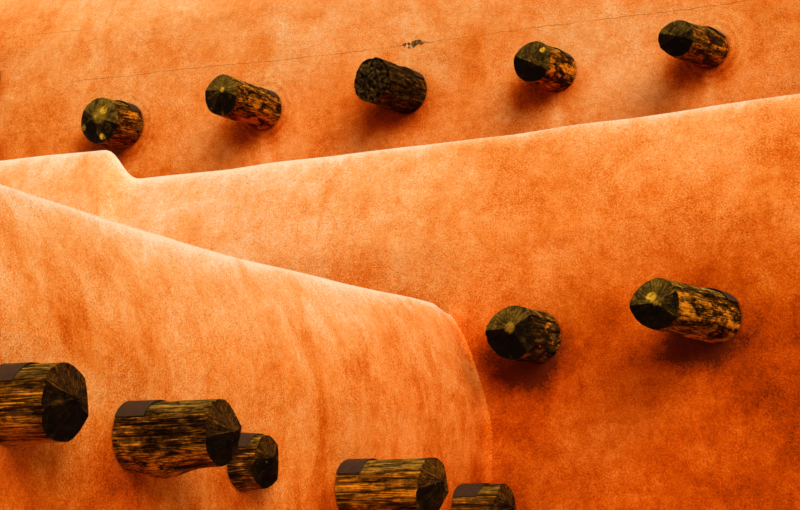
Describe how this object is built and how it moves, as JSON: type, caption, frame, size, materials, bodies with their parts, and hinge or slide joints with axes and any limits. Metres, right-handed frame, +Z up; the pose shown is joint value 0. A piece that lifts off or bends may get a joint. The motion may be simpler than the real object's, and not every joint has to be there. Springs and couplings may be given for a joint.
{
  "type": "adobe house",
  "caption": "Stepped adobe house: a low wing, a hall and a tall rear block with rounded parapets, flat roofs on projecting log beams, and hollow rooms with open doorways.",
  "frame": {"origin": "middle of the footprint's box, on the ground", "axes": "+Z up, +Y north from the low wing to the rear block, +X east, the way the low wing's seen row of log ends points"},
  "size_m": [9.71, 12.705, 6.9911],
  "materials": {
    "plaster": "matte",
    "roof_earth": "matte",
    "log_wood": "matte",
    "lintel_wood": "matte",
    "spout_wood": "matte",
    "sheet_metal": "matte"
  },
  "bodies": {
    "root": {"low_east_wall": "plaster", "low_west_wall": "plaster", "low_south_wall_west": "plaster", "low_south_wall_east": "plaster", "low_wall_over_door": "plaster", "low_lintel": "lintel_wood", "low_roof": "roof_earth", "hall_south_wall": "plaster", "hall_west_wall": "plaster", "hall_east_wall_south": "plaster", "hall_east_wall_north": "plaster", "hall_wall_over_door": "plaster", "hall_lintel": "lintel_wood", "hall_roof": "roof_earth", "rear_south_wall": "plaster", "rear_west_wall": "plaster", "rear_north_wall": "plaster", "rear_east_wall_south": "plaster", "rear_east_wall_north": "plaster", "rear_wall_over_door": "plaster", "rear_lintel": "lintel_wood", "rear_roof": "roof_earth", "roof_spout": "spout_wood", "low_flashings": "sheet_metal", "hall_flashings": "sheet_metal", "rear_flashings": "sheet_metal", "low_viga_1": "log_wood", "low_viga_2": "log_wood", "low_viga_3": "log_wood", "low_viga_4": "log_wood", "low_viga_5": "log_wood", "low_viga_6": "log_wood", "hall_viga_1": "log_wood", "hall_viga_2": "log_wood", "hall_viga_3": "log_wood", "hall_viga_4": "log_wood", "hall_viga_5": "log_wood", "hall_viga_6": "log_wood", "rear_viga_1": "log_wood", "rear_viga_2": "log_wood", "rear_viga_3": "log_wood", "rear_viga_4": "log_wood", "rear_viga_5": "log_wood", "rear_viga_6": "log_wood", "rear_viga_7": "log_wood"}
  },
  "joints": []
}
